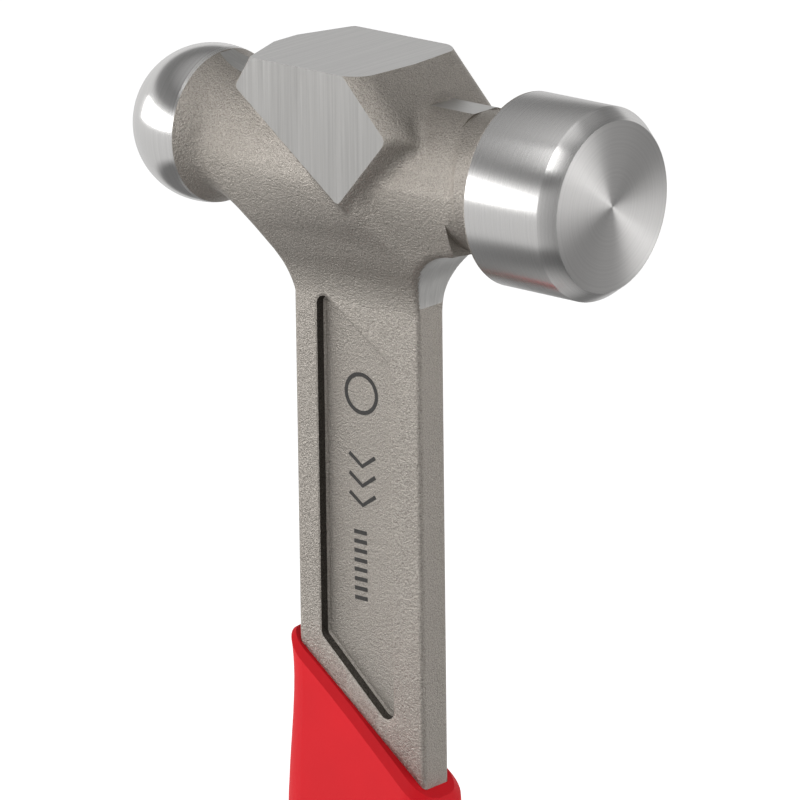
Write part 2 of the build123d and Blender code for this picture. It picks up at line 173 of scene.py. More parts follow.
class SurfaceNet:
    """Turns a signed distance into a closed quad mesh on an uneven grid."""

    def __init__(self, distance: Callable[[Array, Array, Array], Array]) -> None:
        """Keep the distance function that will be meshed.

        Args:
            distance: Function of x, y and z that gives signed distances.
        """
        self.distance = distance

    def mesh(self, xs: Array, ys: Array, zs: Array) -> tuple[Array, Array]:
        """Mesh the zero surface.

        Args:
            xs: Grid lines along X.
            ys: Grid lines along Y.
            zs: Grid lines along Z.

        Returns:
            Points as an (n, 3) array and quads as an (m, 4) array.
        """
        grid = np.meshgrid(xs, ys, zs, indexing="ij")
        values = self.distance(*grid)
        points, index = self._cell_points(values, (xs, ys, zs))
        quads = self._quads(values, index)
        return self._settle(points), quads

    def _cell_points(self, values: Array, lines: Sequence[Array]) -> tuple[Array, Array]:
        """Place one point in every cell that the surface passes through.

        Args:
            values: Distances at the grid's nodes.
            lines: Grid lines along the three axes.

        Returns:
            The points, and each cell's point number or -1.
        """
        cells = tuple(n - 1 for n in values.shape)
        total = np.zeros(cells + (3,))
        count = np.zeros(cells)
        for axis in range(3):
            others = [k for k in range(3) if k != axis]
            for i in (0, 1):
                for j in (0, 1):
                    low = [slice(0, n) for n in cells]
                    low[others[0]] = slice(i, i + cells[others[0]])
                    low[others[1]] = slice(j, j + cells[others[1]])
                    high = list(low)
                    high[axis] = slice(1, 1 + cells[axis])
                    a, b = values[tuple(low)], values[tuple(high)]
                    crossed = (a < 0) != (b < 0)
                    share = np.where(crossed, a / np.where(crossed, a - b, 1.0), 0.0)
                    for k in range(3):
                        shape = [1, 1, 1]
                        shape[k] = -1
                        start = lines[k][low[k]].reshape(shape)
                        step = 0.0
                        if k == axis:
                            step = (lines[k][high[k]] - lines[k][low[k]]).reshape(shape) * share
                        total[..., k] += np.where(crossed, start + step, 0.0)
                    count += crossed
        used = count > 0
        index = np.full(cells, -1)
        index[used] = np.arange(int(used.sum()))
        return total[used] / count[used][:, None], index

    def _quads(self, values: Array, index: Array) -> Array:
        """Join the points of the four cells round every crossed grid edge.

        Args:
            values: Distances at the grid's nodes.
            index: Each cell's point number.

        Returns:
            Quads that face outward.
        """
        found = []
        for axis in range(3):
            u, v = [k for k in range(3) if k != axis]
            inner = [slice(1, -1)] * 3
            inner[axis] = slice(0, -1)
            ahead = list(inner)
            ahead[axis] = slice(1, None)
            a, b = values[tuple(inner)], values[tuple(ahead)]
            rising = (a < 0) & (b >= 0)
            falling = (a >= 0) & (b < 0)
            around = []
            for du, dv in ((-1, -1), (0, -1), (0, 0), (-1, 0)):
                pick = list(inner)
                pick[u] = slice(1 + du, index.shape[u] + du)
                pick[v] = slice(1 + dv, index.shape[v] + dv)
                pick[axis] = slice(0, index.shape[axis])
                around.append(index[tuple(pick)])
            ring = np.stack(around, axis=-1)
            outward, inward = (ring[rising], ring[falling][:, ::-1])
            if axis == 1:
                outward, inward = outward[:, ::-1], inward[:, ::-1]
            found += [outward, inward]
        return np.concatenate(found)

    def slope(self, points: Array, step: float = 2e-5) -> Array:
        """Gradient of the distance at some points.

        Args:
            points: Places as an (n, 3) array.
            step: Half the distance between the two samples.

        Returns:
            Gradients as an (n, 3) array.
        """
        parts = []
        for axis in range(3):
            nudge = np.zeros(3)
            nudge[axis] = step
            ahead = self.distance(*(points + nudge).T)
            behind = self.distance(*(points - nudge).T)
            parts.append((ahead - behind) / (2 * step))
        return np.stack(parts, axis=1)

    def _settle(self, points: Array, rounds: int = 3) -> Array:
        """Move points on to the true surface in a few short steps.

        Args:
            points: Points near the surface.
            rounds: Number of steps.

        Returns:
            The moved points.
        """
        for _ in range(rounds):
            gradient = self.slope(points)
            size = np.maximum((gradient**2).sum(axis=1), 0.25)
            away = self.distance(*points.T) / size
            points = points - gradient * np.clip(away, -4e-4, 4e-4)[:, None]
        return points


def graded_lines(stops: Sequence[tuple[float, float]]) -> Array:
    """Grid lines whose spacing changes at given places.

    Args:
        stops: (place, spacing up to the next place), in rising order.

    Returns:
        The grid lines.
    """
    parts = []
    for (start, spacing), (end, _) in zip(stops, stops[1:]):
        count = max(1, round((end - start) / spacing))
        parts.append(np.linspace(start, end, count, endpoint=False))
    parts.append(np.array([stops[-1][0]]))
    return np.concatenate(parts)


def mesh_object(name: str, points: Iterable, faces: Iterable) -> bpy.types.Object:
    """Make a mesh object at the origin.

    Args:
        name: Object and mesh name.
        points: Vertex places in metres.
        faces: Vertex numbers of each face.

    Returns:
        The new object.
    """
    mesh = bpy.data.meshes.new(name)
    mesh.from_pydata([tuple(p) for p in points], [], [tuple(int(i) for i in f) for f in faces])
    mesh.update()
    made = bpy.data.objects.new(name, mesh)
    bpy.context.scene.collection.objects.link(made)
    return made


def turned_solid(
    name: str, profile: Sequence[tuple[float, float]], axis_z: float, segments: int = 160
) -> bpy.types.Object:
    """Closed solid of revolution about the head axis.

    Args:
        name: Object name.
        profile: (x, radius) from one pole to the other; both poles have radius 0.
        axis_z: Height of the head axis.
        segments: Divisions round the axis.

    Returns:
        The solid, with its faces outward.
    """
    turn = np.linspace(0.0, 2.0 * math.pi, segments, endpoint=False)
    points = [(profile[0][0], 0.0, axis_z)]
    for x, radius in profile[1:-1]:
        points += [(x, radius * math.sin(t), axis_z + radius * math.cos(t)) for t in turn]
    points.append((profile[-1][0], 0.0, axis_z))
    rings = len(profile) - 2
    faces = []
    for k in range(segments):
        following = (k + 1) % segments
        faces.append((0, 1 + k, 1 + following))
        for ring in range(rings - 1):
            low, high = 1 + ring * segments, 1 + (ring + 1) * segments
            faces.append((low + k, high + k, high + following, low + following))
        last = 1 + (rings - 1) * segments
        faces.append((len(points) - 1, last + following, last + k))
    made = mesh_object(name, points, faces)
    point_outward(made)
    return made


def point_outward(item: bpy.types.Object) -> None:
    """Merge doubles and turn every face of a closed mesh outward.

    Args:
        item: Object with a closed mesh.
    """
    work = bmesh.new()
    work.from_mesh(item.data)
    bmesh.ops.remove_doubles(work, verts=work.verts, dist=1e-7)
    bmesh.ops.recalc_face_normals(work, faces=work.faces)
    work.to_mesh(item.data)
    work.free()


def combine(
    target: bpy.types.Object, tool: bpy.types.Object, operation: str
) -> bpy.types.Object:
    """Apply an exact boolean and drop the tool object.

    Args:
        target: Object that is kept.
        tool: Object that cuts or joins it.
        operation: INTERSECT, UNION or DIFFERENCE.

    Returns:
        The target, with a plain mesh.
    """
    modifier = target.modifiers.new("combine", "BOOLEAN")
    modifier.operation = operation
    modifier.object = tool
    modifier.solver = "EXACT"
    modifier.material_mode = "TRANSFER"
    bake_modifiers(target)
    bpy.data.objects.remove(tool)
    return target


def bake_modifiers(item: bpy.types.Object) -> None:
    """Replace an object's mesh with its evaluated mesh and drop its modifiers.

    Args:
        item: Object whose modifiers are applied.
    """
    graph = bpy.context.evaluated_depsgraph_get()
    graph.update()
    made = bpy.data.meshes.new_from_object(item.evaluated_get(graph))
    old = item.data
    item.modifiers.clear()
    item.data = made
    bpy.data.meshes.remove(old)


# --------------------------------------------------------------------------
# Finishes
# --------------------------------------------------------------------------


class Shader:
    """Small helper that wires one material's node tree."""

    def __init__(self, name: str) -> None:
        """Start a material with a Principled shader and Object coordinates.

        Args:
            name: Name of the material.
        """
        self.material = bpy.data.materials.new(name)
        self.material.use_nodes = True
        self.tree = self.material.node_tree
        self.base = self.tree.nodes["Principled BSDF"]
        self.place = self.node("ShaderNodeTexCoord").outputs["Object"]

    def node(self, kind: str, **values: object) -> bpy.types.Node:
        """Add a node and set its properties.

        Args:
            kind: Node type name.
            **values: Properties, or inputs by name with spaces as underscores.

        Returns:
            The new node.
        """
        made = self.tree.nodes.new(kind)
        for key, value in values.items():
            label = key.replace("_", " ")
            if hasattr(made, key):
                setattr(made, key, value)
            elif isinstance(value, bpy.types.NodeSocket):
                self.tree.links.new(value, made.inputs[label])
            else:
                made.inputs[label].default_value = value
        return made

    def link(self, source: bpy.types.NodeSocket, target: bpy.types.NodeSocket) -> None:
        """Join an output to an input.

        Args:
            source: The output.
            target: The input.
        """
        self.tree.links.new(source, target)

    def scaled(self, scale: Sequence[float]) -> bpy.types.NodeSocket:
        """Object coordinates stretched by a factor along each axis.

        Args:
            scale: Factor along each axis.

        Returns:
            The stretched coordinates.
        """
        mapping = self.node("ShaderNodeMapping")
        self.link(self.place, mapping.inputs["Vector"])
        mapping.inputs["Scale"].default_value = scale
        return mapping.outputs["Vector"]

    def noise(
        self, scale: float, detail: float, stretch: Sequence[float] = (1.0, 1.0, 1.0), rough: float = 0.5
    ) -> bpy.types.NodeSocket:
        """Noise value on Object coordinates.

        Args:
            scale: Cells per metre.
            detail: Octaves.
            stretch: Factor along each axis before the noise is read.
            rough: Weight of the finer octaves.

        Returns:
            The noise factor socket.
        """
        made = self.node("ShaderNodeTexNoise", Scale=scale, Detail=detail, Roughness=rough)
        self.link(self.scaled(stretch), made.inputs["Vector"])
        return made.outputs["Fac"]

    def ramp(
        self, value: bpy.types.NodeSocket, stops: Sequence[tuple[float, Sequence[float]]]
    ) -> bpy.types.NodeSocket:
        """Colour ramp over a value.

        Args:
            value: Socket that drives the ramp.
            stops: (position, linear RGB) pairs in rising order.

        Returns:
            The colour socket.
        """
        made = self.node("ShaderNodeValToRGB")
        self.link(value, made.inputs["Fac"])
        elements = made.color_ramp.elements
        while len(elements) < len(stops):
            elements.new(0.5)
        for element, (position, colour) in zip(elements, stops):
            element.position = position
            element.color = (*colour, 1.0)
        return made.outputs["Color"]

    def span(self, value: bpy.types.NodeSocket, low: float, high: float) -> bpy.types.NodeSocket:
        """Stretch a 0 to 1 value on to another range.

        Args:
            value: Number from 0 to 1.
            low: Result at 0.
            high: Result at 1.

        Returns:
            The stretched value.
        """
        made = self.node("ShaderNodeMapRange")
        self.link(value, made.inputs["Value"])
        made.inputs["To Min"].default_value = low
        made.inputs["To Max"].default_value = high
        return made.outputs["Result"]

    def maths(self, operation: str, *values: object) -> bpy.types.NodeSocket:
        """Maths node on sockets or numbers.

        Args:
            operation: Blender's name of the operation.
            values: Its inputs, in order.

        Returns:
            The result.
        """
        made = self.node("ShaderNodeMath")
        made.operation = operation
        for socket, value in zip(made.inputs, values):
            if isinstance(value, bpy.types.NodeSocket):
                self.link(value, socket)
            else:
                socket.default_value = value
        return made.outputs["Value"]

    def mix(
        self, share: object, first: object, second: object
    ) -> bpy.types.NodeSocket:
        """Blend two colours by a share that is a socket or a number.

        Args:
            share: Blend factor.
            first: One colour.
            second: The other colour.

        Returns:
            The blended colour.
        """
        made = self.node("ShaderNodeMix")
        made.data_type = "RGBA"
        for socket, value in zip((made.inputs[0], made.inputs[6], made.inputs[7]), (share, first, second)):
            if isinstance(value, bpy.types.NodeSocket):
                self.link(value, socket)
            elif isinstance(value, (int, float)):
                socket.default_value = value
            else:
                socket.default_value = (*value, 1.0)
        return made.outputs[2]

    def bump(self, layers: Sequence[tuple[bpy.types.NodeSocket, float]]) -> None:
        """Stack height layers into the shader's normal.

        Args:
            layers: (height socket, relief in metres) pairs, coarse first.
        """
        before = None
        for height, relief in layers:
            made = self.node("ShaderNodeBump")
            made.inputs["Distance"].default_value = relief
            made.inputs["Strength"].default_value = 1.0
            self.link(height, made.inputs["Height"])
            if before is not None:
                self.link(before, made.inputs["Normal"])
            before = made.outputs["Normal"]
        self.link(before, self.base.inputs["Normal"])


@dataclass(frozen=True)
class ForgedSkin:
    """Grit-blasted forging skin: fine pits, soft lumps and a warm grey cast."""

    name: str = "steel_as_forged"
    light: tuple[float, float, float] = (0.56, 0.52, 0.475)
    dark: tuple[float, float, float] = (0.27, 0.245, 0.215)
    roughness: tuple[float, float] = (0.36, 0.5)
    pit_scale: float = 4600.0
    pit_relief: float = 0.00013

    def material(self) -> bpy.types.Material:
        """Build the material.

        Returns:
            The material.
        """
        s = Shader(self.name)
        grains = s.noise(self.pit_scale, 3.0, rough=0.62)
        lumps = s.noise(2200.0, 2.0)
        clouds = s.noise(60.0, 3.0)
        tone = s.ramp(grains, [(0.3, self.dark), (0.62, self.light)])
        cloudy = s.mix(s.span(clouds, 0.0, 0.25), tone, self.dark)
        s.link(cloudy, s.base.inputs["Base Color"])
        s.base.inputs["Metallic"].default_value = 1.0
        s.link(s.span(grains, *self.roughness), s.base.inputs["Roughness"])
        s.bump([(lumps, self.pit_relief * 1.1), (grains, self.pit_relief * 1.2)])
        return s.material


@dataclass(frozen=True)
class BrushedSteel:
    """Ground or milled flat with fine parallel lines."""

    name: str
    lines: tuple[float, float, float]
    colour: tuple[float, float, float] = (0.72, 0.71, 0.69)
    roughness: tuple[float, float] = (0.26, 0.42)
    relief: float = 0.00002
    fineness: float = 260.0

    def material(self) -> bpy.types.Material:
        """Build the material; `lines` holds the noise stretch along each axis.

        Returns:
            The material.
        """
        s = Shader(self.name)
        fine = s.noise(self.fineness, 4.0, self.lines, 0.65)
        broad = s.noise(self.fineness * 0.22, 2.0, self.lines)
        dull = tuple(c * 0.78 for c in self.colour)
        tone = s.ramp(fine, [(0.3, dull), (0.7, self.colour)])
        s.link(s.mix(s.span(broad, 0.0, 0.4), tone, dull), s.base.inputs["Base Color"])
        s.base.inputs["Metallic"].default_value = 1.0
        s.link(s.span(fine, *self.roughness), s.base.inputs["Roughness"])
        s.bump([(fine, self.relief)])
        return s.material


@dataclass(frozen=True)
class TurnedSteel:
    """Bright lathe-turned steel: fine rings about the head axis."""

    name: str
    axis_z: float
    colour: tuple[float, float, float] = (0.74, 0.73, 0.72)
    roughness: tuple[float, float] = (0.24, 0.32)
    relief: float = 0.0000004
    anisotropic: float = 0.85
    radial: bool = False

    def material(self) -> bpy.types.Material:
        """Build the material; `radial` puts the rings on a face square to the axis.

        Returns:
            The material.
        """
        s = Shader(self.name)
        split = s.node("ShaderNodeSeparateXYZ")
        s.link(s.place, split.inputs["Vector"])
        height = s.maths("SUBTRACT", split.outputs["Z"], self.axis_z)
        if self.radial:
            squares = s.maths(
                "ADD",
                s.maths("MULTIPLY", height, height),
                s.maths("MULTIPLY", split.outputs["Y"], split.outputs["Y"]),
            )
            along = s.maths("SQRT", squares)
        else:
            along = split.outputs["X"]
        rings = s.node("ShaderNodeTexNoise", noise_dimensions="1D", Scale=16000.0, Detail=3.0)
        s.link(along, rings.inputs["W"])
        broad = s.node("ShaderNodeTexNoise", noise_dimensions="1D", Scale=2500.0, Detail=2.0)
        s.link(along, broad.inputs["W"])
        dull = tuple(c * 0.95 for c in self.colour)
        s.link(s.ramp(broad.outputs["Fac"], [(0.35, dull), (0.65, self.colour)]), s.base.inputs["Base Color"])
        s.base.inputs["Metallic"].default_value = 1.0
        s.link(s.span(rings.outputs["Fac"], *self.roughness), s.base.inputs["Roughness"])
        s.base.inputs["Anisotropic"].default_value = self.anisotropic
        s.base.inputs["Anisotropic Rotation"].default_value = 0.25
        around = s.node("ShaderNodeCombineXYZ")
        s.link(s.maths("MULTIPLY", height, -1.0), around.inputs["Y"])
        s.link(split.outputs["Y"], around.inputs["Z"])
        unit = s.node("ShaderNodeVectorMath", operation="NORMALIZE")
        s.link(around.outputs["Vector"], unit.inputs[0])
        s.link(unit.outputs["Vector"], s.base.inputs["Tangent"])
        s.bump([(rings.outputs["Fac"], self.relief)])
        return s.material


@dataclass(frozen=True)
class MouldedPlastic:
    """Satin moulded colour with a fine spark-eroded grain."""

    name: str
    colour: tuple[float, float, float]
    roughness: tuple[float, float] = (0.36, 0.5)
    grain: float = 2600.0
    relief: float = 0.000012

    def material(self) -> bpy.types.Material:
        """Build the material.

        Returns:
            The material.
        """
        s = Shader(self.name)
        grain = s.noise(self.grain, 2.0)
        clouds = s.noise(35.0, 3.0)
        shade = tuple(c * 0.82 for c in self.colour)
        s.link(s.ramp(clouds, [(0.3, shade), (0.7, self.colour)]), s.base.inputs["Base Color"])
        s.link(s.span(grain, *self.roughness), s.base.inputs["Roughness"])
        s.base.inputs["Specular IOR Level"].default_value = 0.22
        s.bump([(grain, self.relief)])
        return s.material


# --------------------------------------------------------------------------
# The forging
# --------------------------------------------------------------------------


@dataclass
class Forging:
    """Head, shank and tang of the hammer in one piece of steel.

    The places below are measured from the head axis where it crosses the
    handle's centre line, X towards the striking face and Z towards the crown.
    """

    crown: float = 17.6 * MM
    cheek: float = 13.65 * MM
    face_chamfer: tuple[float, float] = (2.6 * MM, 1.9 * MM)
    poll_length: float = 18.3 * MM
    poll_neck_radius: float = 12.0 * MM
    poll_neck_oval: tuple[float, float] = (11.0 * MM, 12.45 * MM)
    poll_flare: float = 7.7 * MM
    flare_root: float = 10.8 * MM
    turning_start: float = 26.3 * MM
    ball_radius: float = 13.8 * MM
    peen_neck_x: float = -22.5 * MM
    peen_neck_oval: tuple[float, float] = (9.9 * MM, 11.5 * MM)
    peen_neck_top: float = 10.9 * MM
    ball_turning_end: float = -30.2 * MM
    shank_half: tuple[float, float] = (14.1 * MM, 3.35 * MM)
    flare_end: float = -21.5 * MM
    throat_radius: float = 12.0 * MM
    peen_throat_radius: float = 9.0 * MM
    peen_fall: float = 41.0
    peen_throat_z: float = -12.4 * MM
    crown_corners: tuple[float, float] = (-14.1 * MM, 10.0 * MM)
    cheek_poll_corner: tuple[float, float] = (16.3 * MM, 7.7 * MM)
    cheek_low_corner: tuple[float, float] = (5.3 * MM, -5.2 * MM)
    cheek_peen_corner: tuple[float, float] = (-17.6 * MM, 12.1 * MM)
    pocket_depth: float = 1.85 * MM
    pocket_sides: tuple[float, float] = (-8.9 * MM, 7.4 * MM)
    pocket_top: tuple[float, float] = (-23.8 * MM, 34.7)
    pocket_low: tuple[float, float] = (-86.6 * MM, 41.7)
    pocket_corner_points: int = 9

    # slopes of the block's walls: (step outward, drop below the cheek)
    crown_facet_x: float = 6.9 * MM
    poll_facet_draft: tuple[float, float] = (0.76, 13.65)
    peen_facet_draft: tuple[float, float] = (4.0, 13.65)
    poll_wall_draft: tuple[float, float] = (2.0, 2.05)
    peen_wall_draft: tuple[float, float] = (1.1, 1.5)

    # edge radii of the block, as forged
    facet_edge: float = 4.2 * MM
    peen_facet_edge: float = 1.0 * MM
    poll_wall_edge: float = 0.8 * MM
    peen_wall_edge: float = 0.6 * MM

    # steel left on the blank for machining
    cheek_stock: float = 0.4 * MM
    crown_stock: float = 0.8 * MM
    poll_stock: float = 1.2 * MM
    face_stock: float = 1.5 * MM
    ball_stock: float = 0.7 * MM
    ball_lag: float = 2.8 * MM

    # necks
    poll_swell: tuple[float, float] = (26.5 * MM, 7.5 * MM)
    peen_neck_opening: float = -10.0 * MM
    peen_neck_inner_end: float = 2.0 * MM
    peen_neck_bend_wide: tuple[float, float] = (27.0 * MM, 110.0 * MM)
    peen_neck_bend_tall: tuple[float, float] = (45.0 * MM, 240.0 * MM)
    ball_root_radius: float = 0.5 * MM
    peen_grind_bend: float = 34.0 * MM

    # rib under the cheek, with the recess beside its foot, and web under the striking end
    rib_half: float = 13.2 * MM
    rib_plan: tuple[float, float] = (-0.112, 13.25 * MM)
    rib_top: tuple[float, float] = (3.5 * MM, 7.0 * MM)
    rib_foot_radius: float = 2.0 * MM
    rib_crest_radius: float = 2.5 * MM
    recess_ridge: tuple[float, float, float] = (10.6 * MM, 10.0 * MM, -11.4 * MM)
    recess_top: tuple[float, float, float] = (11.5 * MM, 10.9 * MM, -3.5 * MM)
    web_slope: float = 0.72
    web_half: tuple[float, float] = (9.9 * MM, 5.0 * MM)
    web_foot_radius: float = 2.5 * MM
    web_top: float = -2.0 * MM
    flare_floor: float = -30.0 * MM
    throat_edge: float = 2.2 * MM
    hollow_edge: float = 1.1 * MM
    hollow_overrun: float = 1.5 * MM

    # tang
    tang_start: float = -140.0 * MM
    tang_half: float = 9.0 * MM
    shank_edge: float = 0.9 * MM

    # fillets where the blank's parts meet
    poll_web_fillet: float = 3.0 * MM
    peen_rib_fillet: float = 3.5 * MM
    seam_fillet: float = 0.6 * MM
    seam_fade: float = 2.0 * MM
    foot_fillet: tuple[float, float] = (0.25 * MM, 0.9 * MM)
    foot_fade: tuple[float, float] = (6.0 * MM, 8.0 * MM)

    grid: float = 0.62 * MM

    def __post_init__(self) -> None:
        """Take the overall places from the frame."""
        low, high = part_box("forging")
        self.axis_z = high.z - self.crown
        self.face_x = high.x
        self.poll_radius = high.y
        self.ball_x = low.x + self.ball_radius
        self.tang_end = low.z - self.axis_z
        self.poll_back = self.face_x - self.poll_length
        self.ball_edge = self.ball_x + 2.3 * MM
        self.web_end = self.shank_half[0] + self.throat_radius

    # ---- blank ----------------------------------------------------------

    def wall(
        self, start: Sequence[float], end: Sequence[float], step: float, drop: float, at: Sequence[Array]
    ) -> Array:
        """Sloped wall that leaves the cheek along one side of its outline.

        Args:
            start: (x, z) of the side's first corner, clockwise.
            end: (x, z) of its second corner.
            step: How far the wall steps outward.
            drop: How far below the cheek it does so.
            at: X, distance from the middle plane, and Z.

        Returns:
            Signed distances.
        """
        run = np.array(end) - np.array(start)
        run = run / np.linalg.norm(run)
        outward = (-run[1], run[0])
        normal = (outward[0] * drop, step, outward[1] * drop)
        return half_space(normal, (start[0], self.cheek, start[1]), at)

    def block(self, at: Sequence[Array]) -> Array:
        """Central block before its cheeks and crown are machined.

        Args:
            at: X, distance from the middle plane, and Z.

        Returns:
            Signed distances.
        """
        peen_x, poll_x = self.crown_corners
        run = (self.cheek_poll_corner[0] - self.crown_facet_x, self.cheek_poll_corner[1] - self.crown)
        facet_end = (poll_x + run[0], self.crown + run[1])
        facet = self.wall((poll_x, self.crown), facet_end, *self.poll_facet_draft, at)
        body = soft_cut(facet, at[1] - (self.cheek + self.cheek_stock), self.facet_edge)
        low, peen = self.cheek_low_corner, self.cheek_peen_corner
        walls = (
            (peen, (peen_x, self.crown), self.peen_facet_draft, self.peen_facet_edge),
            (self.cheek_poll_corner, low, self.poll_wall_draft, self.poll_wall_edge),
            (low, peen, self.peen_wall_draft, self.peen_wall_edge),
        )
        for start, end, (step, drop), edge in walls:
            body = soft_cut(body, self.wall(start, end, step, drop, at), edge)
        return np.maximum(body, at[2] - (self.crown + self.crown_stock))

    def poll_side(self, at: Sequence[Array]) -> Array:
        """Raw striking end and its oval neck.

        Args:
            at: X, distance from the middle plane, and Z.

        Returns:
            Signed distances.
        """
        x, y, z = at
        swell_start, swell_bend = self.poll_swell
        swell = np.maximum(x - swell_start, 0.0) ** 2 / swell_bend
        wide = self.poll_neck_oval[0] + swell
        tall = self.poll_neck_oval[1] + swell
        oval = (np.hypot(y / wide, z / tall) - 1.0) * wide
        end = np.hypot(y, z) - (self.poll_radius + self.poll_stock)
        neck = np.maximum(np.maximum(oval, -x), end)
        return np.maximum(neck, x - (self.face_x + self.face_stock))

    def peen_side(self, at: Sequence[Array]) -> Array:
        """Raw ball and its oval neck.

        Args:
            at: X, distance from the middle plane, and Z.

        Returns:
            Signed distances.
        """
        x, y, z = at
        raw_radius = self.ball_radius + self.ball_stock
        ball = np.sqrt((x - self.ball_x + self.ball_lag) ** 2 + y**2 + z**2) - raw_radius
        run = (np.minimum(x, self.peen_neck_opening) - self.peen_neck_x) ** 2
        outboard = x < self.peen_neck_x
        wide = self.peen_neck_oval[0] + run / np.where(outboard, *self.peen_neck_bend_wide)
        tall = self.peen_neck_oval[1] + run / np.where(outboard, *self.peen_neck_bend_tall)
        oval = (np.hypot(y / wide, z / tall) - 1.0) * wide
        oval = np.maximum(oval, x - self.peen_neck_inner_end)
        oval = np.maximum(oval, self.ball_x - x)
        return soft_union(ball, oval, self.ball_root_radius)

    def side_outline(self, at: Sequence[Array]) -> tuple[Array, Array]:
        """Edges of the forging below the necks, seen from the side.

        Args:
            at: X, distance from the middle plane, and Z.

        Returns:
            Distances past the poll-side edge and past the peen-side edge.
        """
        x, _, z = at
        half = self.shank_half[0]
        poll_edge = soft_union(x - half, -(z + self.poll_neck_radius), self.throat_radius)
        fall = math.radians(self.peen_fall)
        start = (self.peen_neck_x + 1.5 * MM, 0.0, self.peen_throat_z)
        under = half_space((-math.sin(fall), 0.0, -math.cos(fall)), start, at)
        peen_edge = soft_union(-x - half, under, self.peen_throat_radius)
        return poll_edge, peen_edge

    def band(self, at: Sequence[Array]) -> Array:
        """Wide rib under the cheek that runs from the ball's neck down to the shank.

        Args:
            at: X, distance from the middle plane, and Z.

        Returns:
            Signed distances.
        """
        x, y, z = at
        half = self.shank_half[1]
        low_corner = self.cheek_low_corner
        rise = low_corner[1] - self.flare_end
        slope = half_space((0.0, rise, -(self.rib_half - half)), (0.0, half, self.flare_end), at)
        lean, reach = self.rib_plan
        plan = half_space((lean, 1.0, 0.0), (low_corner[0], reach, 0.0), at)
        corner = (low_corner[0], self.rib_half, low_corner[1])
        wall = plane_through(corner, self.recess_top, self.recess_ridge)
        if wall[0] < 0:
            wall = -wall
        plate = soft_union(y - half, slope, self.rib_foot_radius)
        plate = soft_cut(plate, plan, self.rib_crest_radius)
        plate = soft_cut(plate, half_space(wall, self.recess_ridge, at), self.poll_wall_edge)
        top, top_radius = self.rib_top
        plate = soft_cut(plate, z - top, top_radius)
        plate = np.maximum(plate, self.flare_floor - z)
        return soft_cut(plate, self.side_outline(at)[1], self.throat_edge)

    def web(self, at: Sequence[Array]) -> Array:
        """Thinner wall under the striking end's neck.

        Args:
            at: X, distance from the middle plane, and Z.

        Returns:
            Signed distances.
        """
        x, y, z = at
        half = self.shank_half[1]
        slope = half_space((0.0, 1.0, -self.web_slope), (0.0, half, self.flare_end), at)
        full, full_radius = self.web_half
        plate = soft_union(y - half, soft_cut(slope, y - full, full_radius), self.web_foot_radius)
        plate = np.maximum(np.maximum(plate, z - self.web_top), self.flare_floor - z)
        plate = np.maximum(plate, x - self.web_end)
        return soft_cut(plate, self.side_outline(at)[1], self.throat_edge)

    def shank(self, at: Sequence[Array]) -> Array:
        """Flat blade and the narrower tang below it.

        Args:
            at: X, distance from the middle plane, and Z.

        Returns:
            Signed distances.
        """
        x, y, z = at
        half_x, half_y = self.shank_half
        width = np.clip(half_x + (z - self.tang_start), self.tang_half, half_x)
        blade = soft_cut(np.abs(x) - width, y - half_y, self.shank_edge)
        blade = np.maximum(blade, z - self.flare_end)
        return np.maximum(blade, self.tang_end - z)

    def distance(self, x: Array, y: Array, z: Array) -> Array:
        """Signed distance to the whole blank, in the frame's own axes.

        Args:
            x: X coordinates.
            y: Y coordinates.
            z: Z coordinates.

        Returns:
            Signed distances.
        """
        at = (x, np.abs(y), z - self.axis_z)
        poll = soft_union(self.poll_side(at), self.web(at), self.poll_web_fillet)
        peen = soft_union(self.peen_side(at), self.band(at), self.peen_rib_fillet)
        above = np.clip((at[2] - self.flare_end) / self.seam_fade, 0.01, 1.0)
        lower = soft_union(poll, peen, self.seam_fillet * above)
        foot_start, foot_run = self.foot_fade
        share = np.clip((x - foot_start) / foot_run, 0.0, 1.0)
        foot = self.foot_fillet[0] + self.foot_fillet[1] * share
        head = soft_union(self.block(at), lower, foot)
        hollow = np.minimum(self.side_outline(at)[0], self.web_end + self.hollow_overrun - x)
        return np.minimum(soft_cut(head, hollow, self.hollow_edge), self.shank(at))

    def blank(self) -> bpy.types.Object:
        """Mesh the blank on a grid that is fine at the head.

        Returns:
            The blank.
        """
        fine, edge = self.grid, 1.2 * MM

        def across(low: float, high: float, half: float) -> Array:
            """Lines over a width, twice as fine at the two edges of the shank.

            Args:
                low: First line.
                high: Last line.
                half: Half of the shank's size in this direction.

            Returns:
                Places of the lines.
            """
            return graded_lines([
                (low, fine), (-half - edge, fine * 0.5), (-half + edge, fine),
                (half - edge, fine * 0.5), (half + edge, fine), (high, fine),
            ])

        half_x, half_y = self.shank_half
        xs = across(-55.0 * MM, 56.5 * MM, half_x)
        ys = across(-19.0 * MM, 19.0 * MM, half_y)
        stops = (
            (self.tang_end - 2.0 * MM, 0.5 * MM), (self.tang_end + 1.0 * MM, 8.0 * MM),
            (self.tang_start - 8.0 * MM, 2.0 * MM), (self.tang_start + 2.0 * MM, 6.0 * MM),
            (-34.0 * MM, fine), (20.0 * MM, fine),
        )
        zs = graded_lines([(self.axis_z + place, spacing) for place, spacing in stops])
        net = SurfaceNet(self.distance)
        points, quads = net.mesh(xs, ys, zs)
        made = mesh_object("forging_body", points, quads)
        point_outward(made)
        LOG.info("blank: %d points, %d quads", len(points), len(quads))
        return made

    # ---- machining --------------------------------------------------------

